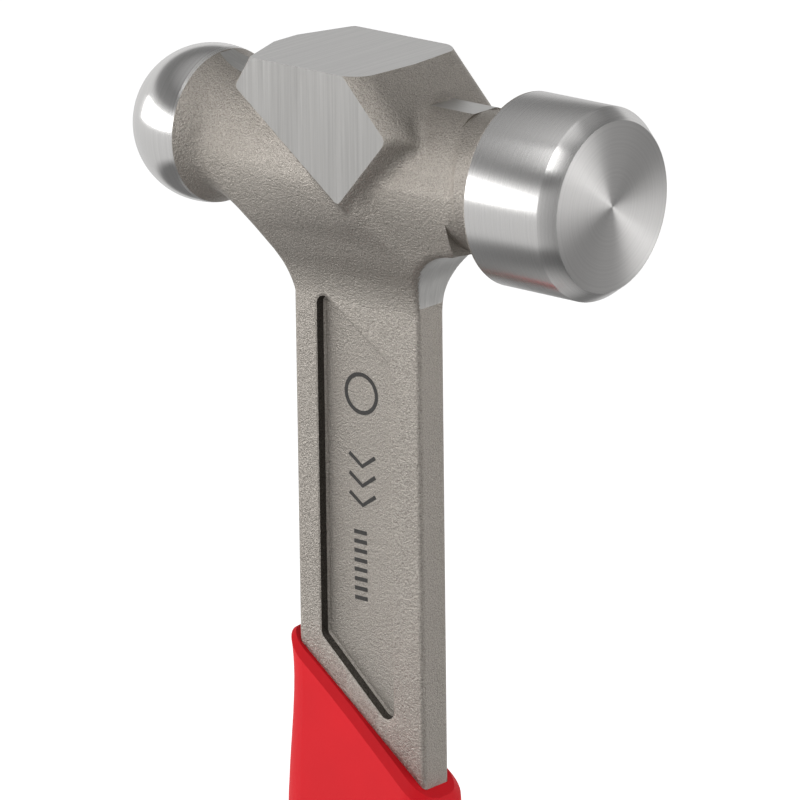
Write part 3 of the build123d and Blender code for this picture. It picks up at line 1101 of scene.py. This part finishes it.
    def turned_profile(self) -> list[tuple[float, float, Skin]]:
        """Lathe profile along the head axis as (x, radius, finish of the run to the next).

        Returns:
            Points of the profile, in order.
        """
        x0, r0 = self.ball_x, self.ball_radius
        clear = 400.0 * MM
        profile = [(x0 - r0, 0.0, Skin.POLISHED)]
        last = math.acos((self.ball_turning_end - x0) / r0)
        steps = 56
        for k in range(1, steps + 1):
            a = math.pi - (math.pi - last) * k / steps
            x = x0 + r0 * math.cos(a)
            profile.append((x, r0 * math.sin(a), Skin.POLISHED if x < self.ball_edge else Skin.TURNED))
        profile.append((self.ball_turning_end + 0.1 * MM, clear, Skin.FORGED))
        profile.append((self.turning_start - 0.05 * MM, clear, Skin.FORGED))
        profile.append((self.turning_start, self.poll_neck_radius, Skin.FORGED))
        rise = self.poll_radius - self.flare_root
        flare = (self.poll_flare**2 + rise**2) / (2 * rise)
        root = self.poll_back - self.poll_flare
        angle = math.acos(1 - (self.poll_neck_radius - self.flare_root) / flare)
        profile.append((root + flare * math.sin(angle), self.poll_neck_radius + 1e-6, Skin.FORGED))
        steps = 16
        for k in range(steps + 1):
            t = k / steps * math.asin(self.poll_flare / flare)
            r = self.flare_root + flare * (1 - math.cos(t))
            if r > self.poll_neck_radius:
                profile.append((root + flare * math.sin(t), r, Skin.FORGED))
        profile.append((self.poll_back + 0.25 * MM, self.poll_radius, Skin.TURNED))
        run, drop = self.face_chamfer
        shoulder = self.face_x - run
        profile += [
            (shoulder - 0.15 * MM, self.poll_radius, Skin.TURNED),
            (shoulder + 0.12 * MM, self.poll_radius - 0.12 * MM, Skin.TURNED),
            (self.face_x - 0.2 * MM, self.poll_radius - drop + 0.16 * MM, Skin.TURNED),
            (self.face_x, self.poll_radius - drop - 0.1 * MM, Skin.FACE),
            (self.face_x, 8.0 * MM, Skin.FACE),
            (self.face_x, 1.2 * MM, Skin.FACE),
            (self.face_x, 0.0, Skin.FACE),
        ]
        return profile

    def give_finishes(self, item: bpy.types.Object) -> None:
        """Add one material slot for each finish, in the order of `Skin`.

        Args:
            item: Object that gets the slots.
        """
        for finish in Skin:
            item.data.materials.append(self.materials[finish])

    def lathe_tool(self) -> bpy.types.Object:
        """Solid of revolution that keeps what the lathe leaves.

        Returns:
            The solid.
        """
        profile = self.turned_profile()
        segments = 192
        tool = turned_solid("lathe", [(x, r) for x, r, _ in profile], self.axis_z, segments)
        self.give_finishes(tool)
        xs = np.array([x for x, _, _ in profile])
        for face in tool.data.polygons:
            run = int(np.searchsorted(xs, face.center.x - 1e-9, side="right")) - 1
            run = min(max(run, 0), len(profile) - 2)
            if abs(face.normal.x) > 0.999 and face.center.x > self.face_x - 0.05 * MM:
                face.material_index = Skin.FACE.value
            else:
                face.material_index = profile[run][2].value
        return tool

    def neck_grinders(self) -> list[bpy.types.Object]:
        """Solids that take the tops off the two necks, straight across.

        Returns:
            The solids.
        """
        half = self.cheek + 2.0 * MM
        roof = self.crown + 4.0 * MM
        start = self.turning_start - 9.5 * MM
        poll = [
            (start, roof), (start, self.poll_neck_radius),
            (self.poll_back - 1.0 * MM, self.poll_neck_radius), (self.poll_back - 1.0 * MM, roof),
        ]
        inner = self.crown_corners[0] - 3.7 * MM
        outer = self.ball_turning_end - 1.2 * MM
        peen = [(inner, roof)]
        steps = 20
        for k in range(steps + 1):
            x = inner - (inner - outer) * k / steps
            peen.append((x, self.peen_neck_top + (x - self.peen_neck_x) ** 2 / self.peen_grind_bend))
        peen.append((outer, roof))
        tools = []
        for name, outline in (("poll_grinder", poll), ("peen_grinder", peen)):
            layers = [[(x, y, z + self.axis_z) for x, z in outline] for y in (-half, half)]
            tool = lofted_solid(name, layers)
            self.give_finishes(tool)
            for face in tool.data.polygons:
                steep = abs(face.normal.x) > 0.8
                face.material_index = (Skin.FORGED if steep else Skin.GROUND).value
            tools.append(tool)
        return tools

    def mark_hollow(self, item: bpy.types.Object) -> None:
        """Give the ground hollow under the striking end's neck its own finish.

        Args:
            item: The forging.
        """
        mesh = item.data
        centres = np.empty(len(mesh.polygons) * 3)
        mesh.polygons.foreach_get("center", centres)
        x, y, z = centres.reshape(-1, 3).T
        at = (x, np.abs(y), z - self.axis_z)
        edge = np.abs(self.side_outline(at)[0])
        low = -self.poll_neck_radius - self.throat_radius
        ground = (edge < 0.04 * MM) & (at[2] > low) & (at[2] < -self.poll_neck_radius + 0.1 * MM)
        ground &= (x > self.shank_half[0] - 0.1 * MM) & (x < self.poll_back)
        for k in np.nonzero(ground)[0]:
            if mesh.polygons[int(k)].material_index == Skin.FORGED.value:
                mesh.polygons[int(k)].material_index = Skin.GROUND.value

    def machine_flats(self, item: bpy.types.Object) -> None:
        """Mill the two cheeks and the crown flat.

        Args:
            item: The forging.
        """
        work = bmesh.new()
        work.from_mesh(item.data)
        cuts = (
            ((0, 0, self.axis_z + self.crown), (0, 0, 1), Skin.CROWN),
            ((0, self.cheek, 0), (0, 1, 0), Skin.CHEEK),
            ((0, -self.cheek, 0), (0, -1, 0), Skin.CHEEK),
        )
        for place, normal, finish in cuts:
            near = [
                f for f in work.faces
                if abs(f.calc_center_median().x) < 27 * MM or finish is Skin.CROWN
            ]
            parts = set(near)
            for f in near:
                parts.update(f.edges)
                parts.update(f.verts)
            cut = bmesh.ops.bisect_plane(
                work, geom=list(parts), dist=1e-7, plane_co=place, plane_no=normal, clear_outer=True
            )
            rim = [e for e in cut["geom_cut"] if isinstance(e, bmesh.types.BMEdge)]
            filled = bmesh.ops.contextual_create(work, geom=rim)
            for f in filled["faces"]:
                f.material_index = finish.value
        bmesh.ops.recalc_face_normals(work, faces=work.faces)
        work.to_mesh(item.data)
        work.free()

    def pocket_tool(self, side: int) -> bpy.types.Object:
        """Solid that sinks the slanted pocket into one side of the shank.

        Args:
            side: -1 or 1, the side of the middle plane.

        Returns:
            The cutting solid.
        """
        left, right = self.pocket_sides
        (top, top_slant), (low, low_slant) = self.pocket_top, self.pocket_low
        top_fall = (right - left) * math.tan(math.radians(top_slant))
        low_fall = (right - left) * math.tan(math.radians(low_slant))
        corners = [(left, top), (right, top - top_fall), (right, low - low_fall), (left, low)]
        floor_depth = self.pocket_depth / MM
        rings = (
            (-0.35, -1.0, 1.9), (-0.35, -0.02, 1.9), (0.0, 0.12, 1.7),
            (0.22, floor_depth - 0.3, 1.5), (0.55, floor_depth, 1.2),
        )
        layers = []
        for inset, depth, radius in rings:
            inner = inset_corners(corners, inset * MM)
            ring = rounded_ring(inner, radius * MM, self.pocket_corner_points)
            y = side * (self.shank_half[1] - depth * MM)
            layers.append([(x, y, z + self.axis_z) for x, z in ring])
        tool = lofted_solid("pocket", layers)
        self.give_finishes(tool)
        for face in tool.data.polygons:
            # steep pocket walls get the darkened copy of the forged skin: painted shade
            steep = abs(face.normal.y) < 0.6
            face.material_index = (Skin.RECESS_PAINTED_SHADE if steep else Skin.FORGED).value
        return tool

    def build(self) -> bpy.types.Object:
        """Forge, machine and finish the steel.

        Returns:
            The forging.
        """
        self.materials = {
            Skin.FORGED: ForgedSkin().material(),
            # darker copy of the forged skin: painted shade for the pocket walls
            Skin.RECESS_PAINTED_SHADE: ForgedSkin(
                "steel_recess_painted_shade", (0.17, 0.158, 0.142), (0.055, 0.05, 0.044)
            ).material(),
            Skin.GROUND: BrushedSteel("steel_ground", (1.0, 9.0, 1.0)).material(),
            Skin.TURNED: TurnedSteel("steel_turned", self.axis_z).material(),
            Skin.FACE: TurnedSteel(
                "steel_faced", self.axis_z, roughness=(0.5, 0.6), anisotropic=0.95, radial=True
            ).material(),
            Skin.POLISHED: TurnedSteel(
                "steel_polished", self.axis_z, roughness=(0.12, 0.2), anisotropic=0.4
            ).material(),
            # milled cheeks: the same milled steel as the crown, its colour darkened well below the crown's as
            # painted shade on the side faces
            Skin.CHEEK: BrushedSteel(
                "steel_milled_cheek_painted_shade", (9.0, 1.0, 0.12), (0.47, 0.462, 0.45)
            ).material(),
            Skin.CROWN: BrushedSteel(
                "steel_milled_crown", (9.0, 0.12, 1.0), (0.8, 0.79, 0.775)
            ).material(),
        }
        item = self.blank()
        self.give_finishes(item)
        self.machine_flats(item)
        for tool in self.neck_grinders():
            combine(item, tool, "DIFFERENCE")
        combine(item, self.lathe_tool(), "INTERSECT")
        for side in (-1, 1):
            combine(item, self.pocket_tool(side), "DIFFERENCE")
        self.mark_hollow(item)
        finish_shading(item, 28.0)
        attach(item, "root")
        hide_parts("forging")
        return item


def inset_corners(corners: Sequence[tuple[float, float]], inset: float) -> list[tuple[float, float]]:
    """Move every side of a clockwise outline inward.

    Args:
        corners: (x, z) corners in order.
        inset: Distance inward; negative moves outward.

    Returns:
        The new corners.
    """
    moved = []
    count = len(corners)
    for k in range(count):
        before, here, after = (np.array(corners[(k + d) % count]) for d in (-1, 0, 1))
        u = (here - before) / np.linalg.norm(here - before)
        v = (after - here) / np.linalg.norm(after - here)
        nu, nv = np.array((u[1], -u[0])), np.array((v[1], -v[0]))
        moved.append(tuple(here + inset * (nu + nv) / (1.0 + nu @ nv)))
    return moved


def rounded_ring(
    corners: Sequence[tuple[float, float]], radius: float, steps: int
) -> list[tuple[float, float]]:
    """Outline with every corner rounded by an arc.

    Args:
        corners: (x, z) corners in order.
        radius: Corner radius.
        steps: Points on each arc.

    Returns:
        The rounded outline.
    """
    ring = []
    count = len(corners)
    for k in range(count):
        before, here, after = (np.array(corners[(k + d) % count]) for d in (-1, 0, 1))
        u = (before - here) / np.linalg.norm(before - here)
        v = (after - here) / np.linalg.norm(after - here)
        half = math.acos(float(np.clip(u @ v, -1, 1))) / 2
        middle = here + (u + v) / np.linalg.norm(u + v) * radius / math.sin(half)
        start = here + u * radius / math.tan(half) - middle
        end = here + v * radius / math.tan(half) - middle
        sweep = math.acos(float(np.clip(start @ end / radius**2, -1, 1)))
        for j in range(steps):
            t = j / (steps - 1)
            a, b = math.sin((1 - t) * sweep), math.sin(t * sweep)
            ring.append(tuple(middle + (start * a + end * b) / math.sin(sweep)))
    return ring


def lofted_solid(name: str, layers: Sequence[Sequence[tuple[float, float, float]]]) -> bpy.types.Object:
    """Closed solid through rings with the same number of points.

    Args:
        name: Object name.
        layers: Rings of points in order.

    Returns:
        The solid, with its faces outward.
    """
    count = len(layers[0])
    points = [p for layer in layers for p in layer]
    faces = [tuple(range(count)), tuple(range(len(points) - count, len(points)))]
    for row in range(len(layers) - 1):
        for k in range(count):
            a, b = row * count + k, row * count + (k + 1) % count
            faces.append((a, b, b + count, a + count))
    made = mesh_object(name, points, faces)
    point_outward(made)
    return made


def finish_shading(item: bpy.types.Object, angle: float) -> None:
    """Shade a mesh smooth, with sharp edges past an angle or between finishes.

    Args:
        item: Object to shade.
        angle: Largest smooth angle in degrees.
    """
    work = bmesh.new()
    work.from_mesh(item.data)
    bmesh.ops.remove_doubles(work, verts=work.verts, dist=2e-6)
    bmesh.ops.dissolve_degenerate(work, dist=1e-6, edges=work.edges)
    limit = math.radians(angle)
    for f in work.faces:
        f.smooth = f.calc_area() < 12e-6
    for e in work.edges:
        if len(e.link_faces) != 2:
            continue
        a, b = e.link_faces
        e.smooth = a.material_index == b.material_index and e.calc_face_angle(0.0) < limit
    work.to_mesh(item.data)
    work.free()


# --------------------------------------------------------------------------
# Marks and grip
# --------------------------------------------------------------------------


@dataclass(frozen=True)
class EtchedInk:
    """Dark laser-etched tone of the marks on the shank."""

    name: str = "etched_dark"
    tones: tuple[float, float] = (0.03, 0.075)

    def material(self) -> bpy.types.Material:
        """Build the material.

        Returns:
            The material.
        """
        s = Shader(self.name)
        low, high = ((v, v * 0.97, v * 0.93) for v in self.tones)
        speck = s.noise(5200.0, 3.0)
        s.link(s.ramp(speck, [(0.3, low), (0.7, high)]), s.base.inputs["Base Color"])
        s.base.inputs["Metallic"].default_value = 0.6
        s.link(s.span(speck, 0.45, 0.65), s.base.inputs["Roughness"])
        s.bump([(speck, 0.00002)])
        return s.material


@dataclass
class EtchedMarks:
    """Plain geometric marks on the floor of each pocket: ring, chevrons and ticks."""

    forging: Forging
    ring: tuple[float, float] = (-42.0 * MM, 3.4 * MM)
    ring_points: int = 48
    chevrons: tuple[float, ...] = (-53.0 * MM, -56.5 * MM, -60.0 * MM)
    chevron_reach: float = 2.9 * MM
    chevron_fall: float = 0.7
    stroke: float = 0.75 * MM
    ticks: tuple[float, float, int] = (-67.0 * MM, 1.7 * MM, 8)
    sink: float = 0.02 * MM
    shift: float = 0.6 * MM
    tick_shift: float = 1.2 * MM

    def rails(self, path: Sequence[tuple[float, float]], closed: bool) -> tuple[list, list]:
        """Two lines that follow a path at half a stroke's width to either side.

        Args:
            path: (x, z) places.
            closed: Whether the path returns to its start.

        Returns:
            The places of the outer and of the inner line.
        """
        count = len(path)
        outer, inner = [], []
        for k, here in enumerate(path):
            before = path[(k - 1) % count] if closed or k > 0 else here
            after = path[(k + 1) % count] if closed or k < count - 1 else here
            run_x, run_z = after[0] - before[0], after[1] - before[1]
            share = self.stroke / 2 / math.hypot(run_x, run_z)
            outer.append((here[0] - run_z * share, here[1] + run_x * share))
            inner.append((here[0] + run_z * share, here[1] - run_x * share))
        return outer, inner

    def paths(self) -> list[tuple[list[tuple[float, float]], bool]]:
        """All the strokes of one side as (path, closed).

        Returns:
            The strokes.
        """
        height, radius = self.ring
        turn = np.linspace(0.0, 2.0 * math.pi, self.ring_points, endpoint=False)
        found = [([(radius * math.cos(t), height + radius * math.sin(t)) for t in turn], True)]
        reach = self.chevron_reach
        for z in self.chevrons:
            found.append(([(-reach, z), (0.0, z - self.chevron_fall * reach), (reach, z)], False))
        return found

    def scale_ticks(self, label: str, side: int, floor: float, ink: bpy.types.Material) -> None:
        """Row of equal ticks, repeated down the pocket by a node tree.

        Args:
            label: Word that ends the piece's name.
            side: -1 for the near pocket, 1 for the far one.
            floor: Distance of the pocket floor from the middle plane.
            ink: Material of the ticks.
        """
        first, pitch, count = self.ticks
        tree = bpy.data.node_groups.new(f"tick_row_{label}", "GeometryNodeTree")
        face = tree.interface
        face.new_socket("Geometry", in_out="OUTPUT", socket_type="NodeSocketGeometry")
        steps = face.new_socket("Count", in_out="INPUT", socket_type="NodeSocketInt")
        gap = face.new_socket("Pitch", in_out="INPUT", socket_type="NodeSocketFloat")
        width = face.new_socket("Stroke", in_out="INPUT", socket_type="NodeSocketFloat")
        inputs = tree.nodes.new("NodeGroupInput")
        outputs = tree.nodes.new("NodeGroupOutput")
        down = tree.nodes.new("ShaderNodeCombineXYZ")
        flip = tree.nodes.new("ShaderNodeMath")
        flip.operation = "MULTIPLY"
        flip.inputs[1].default_value = -1.0
        tree.links.new(inputs.outputs["Pitch"], flip.inputs[0])
        tree.links.new(flip.outputs[0], down.inputs["Z"])
        row = tree.nodes.new("GeometryNodeMeshLine")
        start = (-self.tick_shift, side * floor, first + self.forging.axis_z)
        row.inputs["Start Location"].default_value = start
        tree.links.new(inputs.outputs["Count"], row.inputs["Count"])
        tree.links.new(down.outputs["Vector"], row.inputs["Offset"])
        size = tree.nodes.new("ShaderNodeCombineXYZ")
        size.inputs["X"].default_value = self.chevron_reach
        size.inputs["Y"].default_value = 2.0 * self.sink
        tree.links.new(inputs.outputs["Stroke"], size.inputs["Z"])
        bar = tree.nodes.new("GeometryNodeMeshCube")
        tree.links.new(size.outputs["Vector"], bar.inputs["Size"])
        spread = tree.nodes.new("GeometryNodeInstanceOnPoints")
        tree.links.new(row.outputs["Mesh"], spread.inputs["Points"])
        tree.links.new(bar.outputs["Mesh"], spread.inputs["Instance"])
        real = tree.nodes.new("GeometryNodeRealizeInstances")
        tree.links.new(spread.outputs["Instances"], real.inputs["Geometry"])
        paint = tree.nodes.new("GeometryNodeSetMaterial")
        paint.inputs["Material"].default_value = ink
        tree.links.new(real.outputs["Geometry"], paint.inputs["Geometry"])
        tree.links.new(paint.outputs["Geometry"], outputs.inputs["Geometry"])
        item = mesh_object(f"scale_ticks_{label}", [(0.0, 0.0, 0.0)], [])
        modifier = item.modifiers.new("ticks", "NODES")
        modifier.node_group = tree
        modifier[steps.identifier] = count
        modifier[gap.identifier] = pitch
        modifier[width.identifier] = self.stroke
        bake_modifiers(item)
        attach(item, "root")

    def build(self) -> None:
        """Lay the strokes on both pocket floors."""
        floor = self.forging.shank_half[1] - self.forging.pocket_depth
        ink = EtchedInk().material()
        for side, label in ((-1, "right"), (1, "left")):
            points, faces = [], []
            for path, closed in self.paths():
                start = len(points)
                for line in self.rails(path, closed):
                    for depth in (self.sink, -self.sink):
                        y = side * (floor + depth)
                        points += [(x - self.shift, y, z + self.forging.axis_z) for x, z in line]
                count = len(path)
                ring = [start + n * count for n in (0, 1, 3, 2)]
                for k in range(count if closed else count - 1):
                    following = (k + 1) % count
                    for low, high in zip(ring, ring[1:] + ring[:1]):
                        faces.append((low + k, low + following, high + following, high + k))
                if not closed:
                    faces.append(tuple(ring))
                    faces.append(tuple(corner + count - 1 for corner in ring))
            item = mesh_object(f"etched_marks_{label}", points, faces)
            point_outward(item)
            item.data.materials.append(ink)
            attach(item, "root")
            self.scale_ticks(label, side, floor, ink)


@dataclass
class Grip:
    """Two-colour moulded grip: red body with soft dark pads and bumper."""

    red: tuple[float, float, float] = (0.66, 0.004, 0.012)
    dark: tuple[float, float, float] = (0.02, 0.02, 0.021)
    body: str = "grip_body"
    soft_parts: tuple[str, ...] = ("grip_pad_peen_side", "grip_pad_face_side", "butt_bumper")

    def paint(self) -> None:
        """Give each moulded piece its plastic."""
        hard = MouldedPlastic("grip_red", self.red, (0.5, 0.62)).material()
        soft = MouldedPlastic("grip_soft", self.dark, (0.6, 0.78), 1500.0, 0.00005).material()
        for name in (self.body, *self.soft_parts):
            slots = bpy.data.objects[name].data.materials
            slots.clear()
            slots.append(hard if name == self.body else soft)


# --------------------------------------------------------------------------
# Studio
# --------------------------------------------------------------------------


@dataclass(frozen=True)
class Lamp:
    """Soft rectangular light: place seen from the head and size in metres, power in watts."""

    name: str
    offset: tuple[float, float, float]
    size: tuple[float, float]
    watts: float


@dataclass
class Studio:
    """Pale floor, soft lights and the camera."""

    azimuth: float = 40.65
    elevation: float = 17.01
    roll: float = -0.70
    distance: float = 1.2849
    lens: float = 341.8
    sensor: float = 36.0
    # how far the camera stands right of and above the head, as shares of the picture's width
    aim: tuple[float, float] = (0.041875, -0.3065)
    room_tones: tuple[tuple[float, float], ...] = (
        (-1.0, 0.6), (-0.86, 0.2), (-0.7, 0.2), (-0.6, 0.7), (-0.1, 0.75), (0.3, 0.8),
        (0.42, 0.27), (0.65, 0.22), (0.85, 0.4), (1.0, 0.5),
    )

    room_shade: tuple[tuple[float, float], tuple[float, float]] = ((0.1, 0.7), (1.0, 0.42))
    side_lamp: tuple[float, float] = (1.0, 0.09)
    lamps: tuple[Lamp, ...] = (
        Lamp("face", (0.9, 0.37, 0.02), (0.42, 0.55), 2.6),
        Lamp("front", (0.28, -0.72, 1.04), (0.6, 0.6), 4.0),
        Lamp("top", (0.25, -0.1, 1.5), (1.0, 1.0), 1.6),
    )

    def floor(self) -> None:
        """Plain pale floor under the butt."""
        low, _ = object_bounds()
        size = 30.0
        points = [(-size, -size, low.z), (size, -size, low.z), (size, size, low.z), (-size, size, low.z)]
        item = mesh_object("floor", points, [(0, 1, 2, 3)])
        s = Shader("floor_paint")
        tone = s.ramp(s.noise(3.0, 2.0), [(0.0, (0.88, 0.88, 0.88)), (1.0, (0.92, 0.92, 0.92))])
        s.link(tone, s.base.inputs["Base Color"])
        s.link(tone, s.base.inputs["Emission Color"])
        s.base.inputs["Emission Strength"].default_value = 0.75
        s.base.inputs["Roughness"].default_value = 0.9
        item.data.materials.append(s.material)
        item.visible_glossy = False
        item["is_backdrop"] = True

    def hang(self, lamp: Lamp, head: Vector) -> None:
        """Add one lamp, aimed at the head.

        Args:
            lamp: The lamp's place, size and power.
            head: Middle of the head.
        """
        data = bpy.data.lights.new(lamp.name, "AREA")
        data.shape = "RECTANGLE"
        data.size, data.size_y = lamp.size
        data.energy = lamp.watts
        item = bpy.data.objects.new(lamp.name, data)
        item.location = head + Vector(lamp.offset)
        item.rotation_euler = (-Vector(lamp.offset)).to_track_quat("-Z", "Y").to_euler()
        item.visible_camera = False
        bpy.context.scene.collection.objects.link(item)

    def room(self) -> None:
        """Grey room: brightness changes with height and fades towards +X."""
        world = bpy.data.worlds.new("room")
        bpy.context.scene.world = world
        world.use_nodes = True
        tree = world.node_tree
        place = tree.nodes.new("ShaderNodeTexCoord")
        split = tree.nodes.new("ShaderNodeSeparateXYZ")
        tree.links.new(place.outputs["Generated"], split.inputs["Vector"])
        span = tree.nodes.new("ShaderNodeMapRange")
        tree.links.new(split.outputs["Z"], span.inputs["Value"])
        span.inputs["From Min"].default_value = -1.0
        ramp = tree.nodes.new("ShaderNodeValToRGB")
        tree.links.new(span.outputs["Result"], ramp.inputs["Fac"])
        elements = ramp.color_ramp.elements
        while len(elements) < len(self.room_tones):
            elements.new(0.5)
        for element, (height, tone) in zip(elements, self.room_tones):
            element.position = (height + 1.0) / 2.0
            element.color = (tone, tone, tone, 1.0)
        shade = tree.nodes.new("ShaderNodeMapRange")
        shade.interpolation_type = "SMOOTHSTEP"
        tree.links.new(split.outputs["X"], shade.inputs["Value"])
        (near, far), (lit, dim) = self.room_shade
        shade.inputs["From Min"].default_value = near
        shade.inputs["From Max"].default_value = far
        shade.inputs["To Min"].default_value = lit
        shade.inputs["To Max"].default_value = dim
        mixed = tree.nodes.new("ShaderNodeVectorMath")
        mixed.operation = "SCALE"
        tree.links.new(ramp.outputs["Color"], mixed.inputs[0])
        tree.links.new(shade.outputs["Result"], mixed.inputs["Scale"])
        tree.links.new(mixed.outputs["Vector"], tree.nodes["Background"].inputs["Color"])
        tree.nodes["Background"].inputs["Strength"].default_value = 1.0

    def lights(self, head: Vector) -> None:
        """Wide soft box to the camera's left, then the lamps round the head.

        Args:
            head: Middle of the head.
        """
        turn = math.radians(self.azimuth)
        away, rise = self.side_lamp
        place = (-math.cos(turn) * away, -math.sin(turn) * away, rise)
        for lamp in (Lamp("side", place, (1.3, 0.34), 4.2), *self.lamps):
            self.hang(lamp, head)

    def camera(self, head: Vector) -> None:
        """Long-lens camera on the cheek side, a little above the head.

        Args:
            head: Middle of the head.
        """
        a, e, r = (math.radians(v) for v in (self.azimuth, self.elevation, self.roll))
        back = Vector((math.sin(a) * math.cos(e), -math.cos(a) * math.cos(e), math.sin(e)))
        right = Vector((math.cos(a), math.sin(a), 0.0))
        up = back.cross(right)
        turned_right = math.cos(r) * right + math.sin(r) * up
        turned_up = -math.sin(r) * right + math.cos(r) * up
        data = bpy.data.cameras.new("camera")
        data.lens = self.lens
        data.sensor_width = self.sensor
        item = bpy.data.objects.new("camera", data)
        width = self.distance * data.sensor_width / self.lens
        offset_right, offset_up = self.aim[0] * width, self.aim[1] * width
        place = head + back * self.distance + turned_right * offset_right + turned_up * offset_up
        rows = [(turned_right[k], turned_up[k], back[k], place[k]) for k in range(3)]
        rows.append((0.0, 0.0, 0.0, 1.0))
        item.matrix_world = Matrix(rows)
        data.clip_start, data.clip_end = 0.01, 100.0
        bpy.context.scene.collection.objects.link(item)
        bpy.context.scene.camera = item


def main() -> None:
    """Build every piece in order."""
    logging.basicConfig(level=logging.INFO, format="%(name)s: %(message)s")
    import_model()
    forging = Forging()
    item = forging.build()
    LOG.info("%s: %d faces", item.name, len(item.data.polygons))
    EtchedMarks(forging).build()
    Grip().paint()
    studio = Studio()
    head = Vector((0.0, 0.0, forging.axis_z))
    studio.floor()
    studio.room()
    studio.lights(head)
    studio.camera(head)
    bpy.context.scene.view_settings.view_transform = "Standard"


if __name__ == "__main__":
    main()
